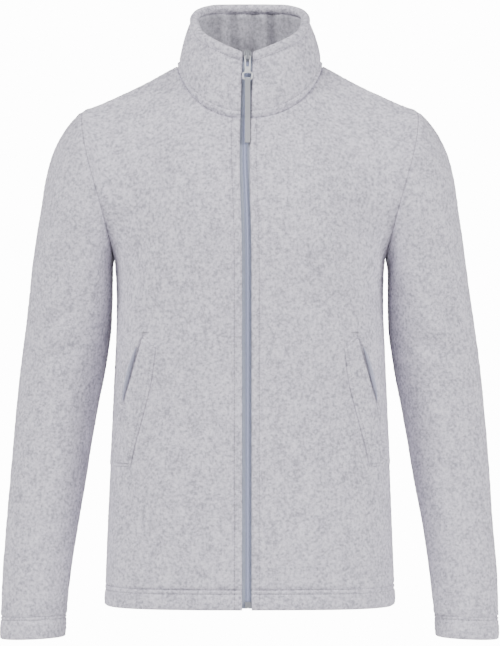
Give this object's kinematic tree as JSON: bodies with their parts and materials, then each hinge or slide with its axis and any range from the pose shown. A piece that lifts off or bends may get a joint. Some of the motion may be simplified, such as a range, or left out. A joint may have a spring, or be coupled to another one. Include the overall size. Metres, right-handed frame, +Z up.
{
  "type": "fleece zip jacket",
  "caption": "Worn, filled-out fleece jacket with a full front zip, stand collar, set-in sleeves and slanted welt pockets; hollow, open at neck, hem and cuffs.",
  "frame": {"origin": "middle of the neck base, level with the shoulders' high points, where the wearer holds the jacket up", "axes": "+X to the right of a viewer who faces the front (the wearer's left), the front faces -Y, +Z up"},
  "size_m": [0.62, 0.2532, 0.7974],
  "materials": {
    "fleece": "brushed melange fleece, matt",
    "pocket_lining": "knitted lining cloth, matt",
    "zip_tape": "woven tape, matt",
    "zip_coil": "nylon coil, satin",
    "zip_metal": "silver lacquer, satin",
    "ribbon": "woven ribbon, matt"
  },
  "bodies": {
    "jacket": {"front_left": "fleece", "front_right": "fleece", "back": "fleece", "sleeve_left": "fleece", "sleeve_right": "fleece", "collar": "fleece", "welt_left": "fleece", "welt_right": "fleece", "pocket_facing_left": "pocket_lining", "pocket_facing_right": "pocket_lining", "zip_tape_left": "zip_tape", "zip_tape_right": "zip_tape", "zip_chain": "zip_coil", "zip_slider": "zip_metal", "zip_bottom_box": "zip_metal"},
    "pull_tab": {"zip_pull_tab": "zip_metal", "zip_ribbon": "ribbon"}
  },
  "joints": [
    {"name": "tab_swing", "type": "hinge", "parent": "jacket", "child": "pull_tab", "pos_m": [-0.00296, -0.07303, -0.00417], "axis": [-1, 0, 0], "range_deg": [0, 150]}
  ]
}
